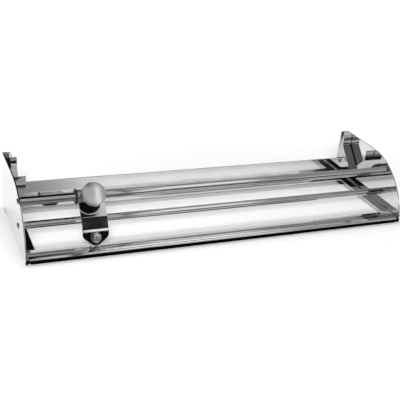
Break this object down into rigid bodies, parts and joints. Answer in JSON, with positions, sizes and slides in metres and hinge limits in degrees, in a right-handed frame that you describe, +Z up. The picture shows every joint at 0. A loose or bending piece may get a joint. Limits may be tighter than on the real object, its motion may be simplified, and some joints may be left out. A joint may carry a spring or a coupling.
{
  "type": "cling film cutter",
  "caption": "Counter stand for a wide film roll: folded polished tray, curved cheeks with V cradles, guide rods and a knobbed blade carriage that slides and tips up.",
  "frame": {"origin": "middle of the stand's footprint, on the surface that the feet stand on", "axes": "+X along the rods to the right, +Y from the front lip to the rear wall, +Z up"},
  "size_m": [0.5042, 0.1532, 0.0776],
  "materials": {
    "polished_sheet": "mirror-polished stainless sheet, folded, with bright cut edges",
    "ground_rod": "ground stainless bar with a satin sheen along its length",
    "steel_fastener": "bright stainless fasteners with softly rounded heads",
    "rivet_metal": "plain aluminium blind rivets",
    "black_rubber": "matt black moulded rubber",
    "black_nylon": "turned black nylon with a dull sheen",
    "satin_knob": "turned metal with a satin domed face",
    "blade_steel": "hardened strip steel, ground along its cutting edges"
  },
  "bodies": {
    "frame": {"base_tray": "polished_sheet", "left_cheek": "polished_sheet", "right_cheek": "polished_sheet", "left_cradle": "polished_sheet", "right_cradle": "polished_sheet", "upper_rod": "ground_rod", "lower_rod": "ground_rod", "left_rod_screws": "steel_fastener", "right_rod_screws": "steel_fastener", "wall_rivets": "rivet_metal", "front_left_foot": "black_rubber", "front_right_foot": "black_rubber", "rear_left_foot": "black_rubber", "rear_right_foot": "black_rubber"},
    "slider": {"left_slide_bush": "black_nylon", "right_slide_bush": "black_nylon"},
    "arm": {"slide_tube": "polished_sheet", "carriage_plate": "polished_sheet", "knob_post": "satin_knob", "knob": "satin_knob", "blade": "blade_steel", "blade_clamp": "blade_steel", "blade_screw": "steel_fastener", "blade_washer": "steel_fastener", "blade_nut": "steel_fastener"}
  },
  "joints": [
    {"name": "carriage_slide", "type": "slide", "parent": "frame", "child": "slider", "axis": [1, 0, 0], "range_m": [-0.0635, 0.398]},
    {"name": "arm_tilt", "type": "hinge", "parent": "slider", "child": "arm", "pos_m": [-0.166, -0.0306, 0.0577], "axis": [-1, 0, 0], "range_deg": [0, 150]}
  ]
}
